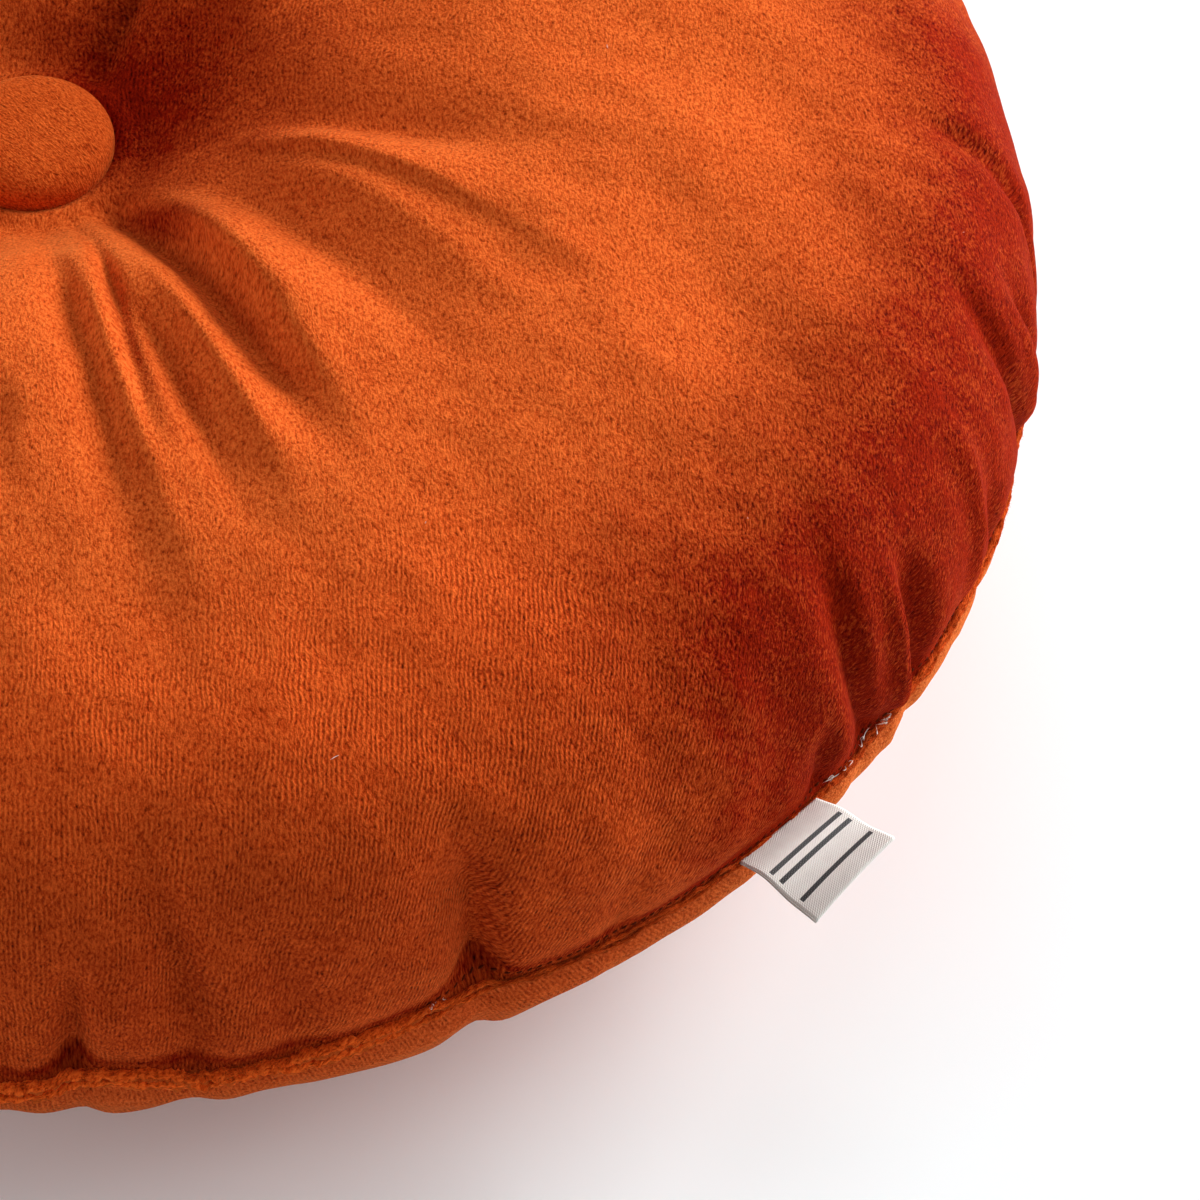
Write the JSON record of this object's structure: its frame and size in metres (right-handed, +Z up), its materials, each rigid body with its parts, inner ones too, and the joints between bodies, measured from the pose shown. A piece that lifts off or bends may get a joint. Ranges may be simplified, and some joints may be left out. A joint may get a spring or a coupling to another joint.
{
  "type": "round buttoned cushion",
  "caption": "Round plump velvet cushion with a covered button in a dimpled crown, a gathered knife-edge seam and a blank folded side label.",
  "frame": {"origin": "middle of the cushion, on the surface that it lies on", "axes": "+Z up through the crown and the button; -Y towards the front; the label sticks out between +X and -Y"},
  "size_m": [0.403, 0.4019, 0.133],
  "materials": {
    "velvet": "short-pile rust-orange velvet over soft filling",
    "button_velvet": "the same velvet stretched over a button",
    "label_satin": "cream woven satin ribbon, left blank"
  },
  "bodies": {
    "root": {"cushion": "velvet", "button": "button_velvet", "label": "label_satin"}
  },
  "joints": []
}
